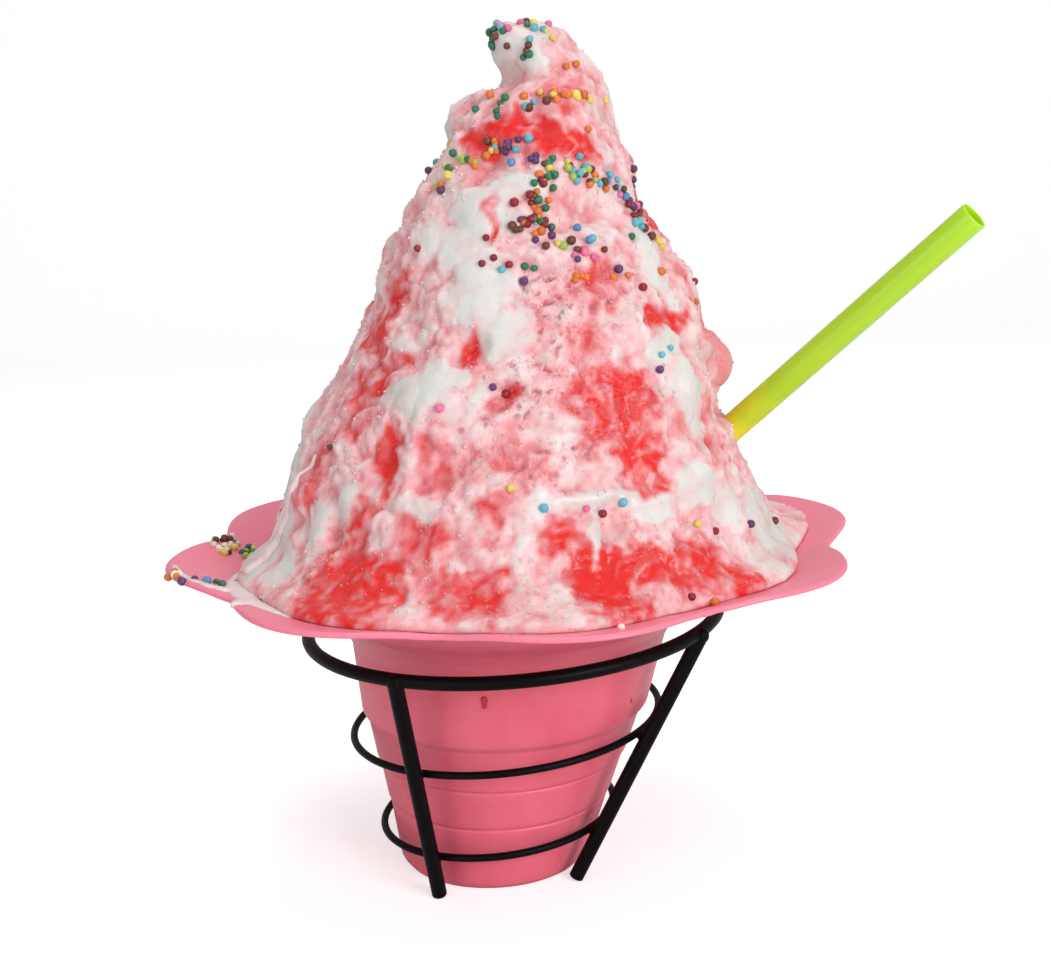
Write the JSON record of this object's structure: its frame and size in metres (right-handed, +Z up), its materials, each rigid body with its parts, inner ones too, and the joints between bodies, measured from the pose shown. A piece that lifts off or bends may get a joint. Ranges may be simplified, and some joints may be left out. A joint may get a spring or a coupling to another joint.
{
  "type": "shaved ice dessert",
  "caption": "Tall mound of shaved ice with syrup, cream and sprinkles in a pink petal-rimmed plastic cup, with a drinking straw, standing in a black wire holder.",
  "frame": {"origin": "centre of the cup's base, on the table", "axes": "+Z up, -Y towards the viewer, +X towards the side that the straw leans to"},
  "size_m": [0.1839, 0.164, 0.2013],
  "materials": {
    "cup": "soft pink plastic with a satin sheen",
    "ice": "granular shaved ice, stained with red and pink syrup under white cream",
    "straw": "thin translucent lime plastic",
    "wire": "black powder-coated steel wire"
  },
  "bodies": {
    "root": {"flower_cup": "cup", "shaved_ice": "ice", "straw": "straw", "holder_top_ring": "wire", "holder_middle_ring": "wire", "holder_lower_ring": "wire", "holder_leg_1": "wire", "holder_leg_2": "wire", "holder_leg_3": "wire", "holder_leg_4": "wire"}
  },
  "joints": []
}
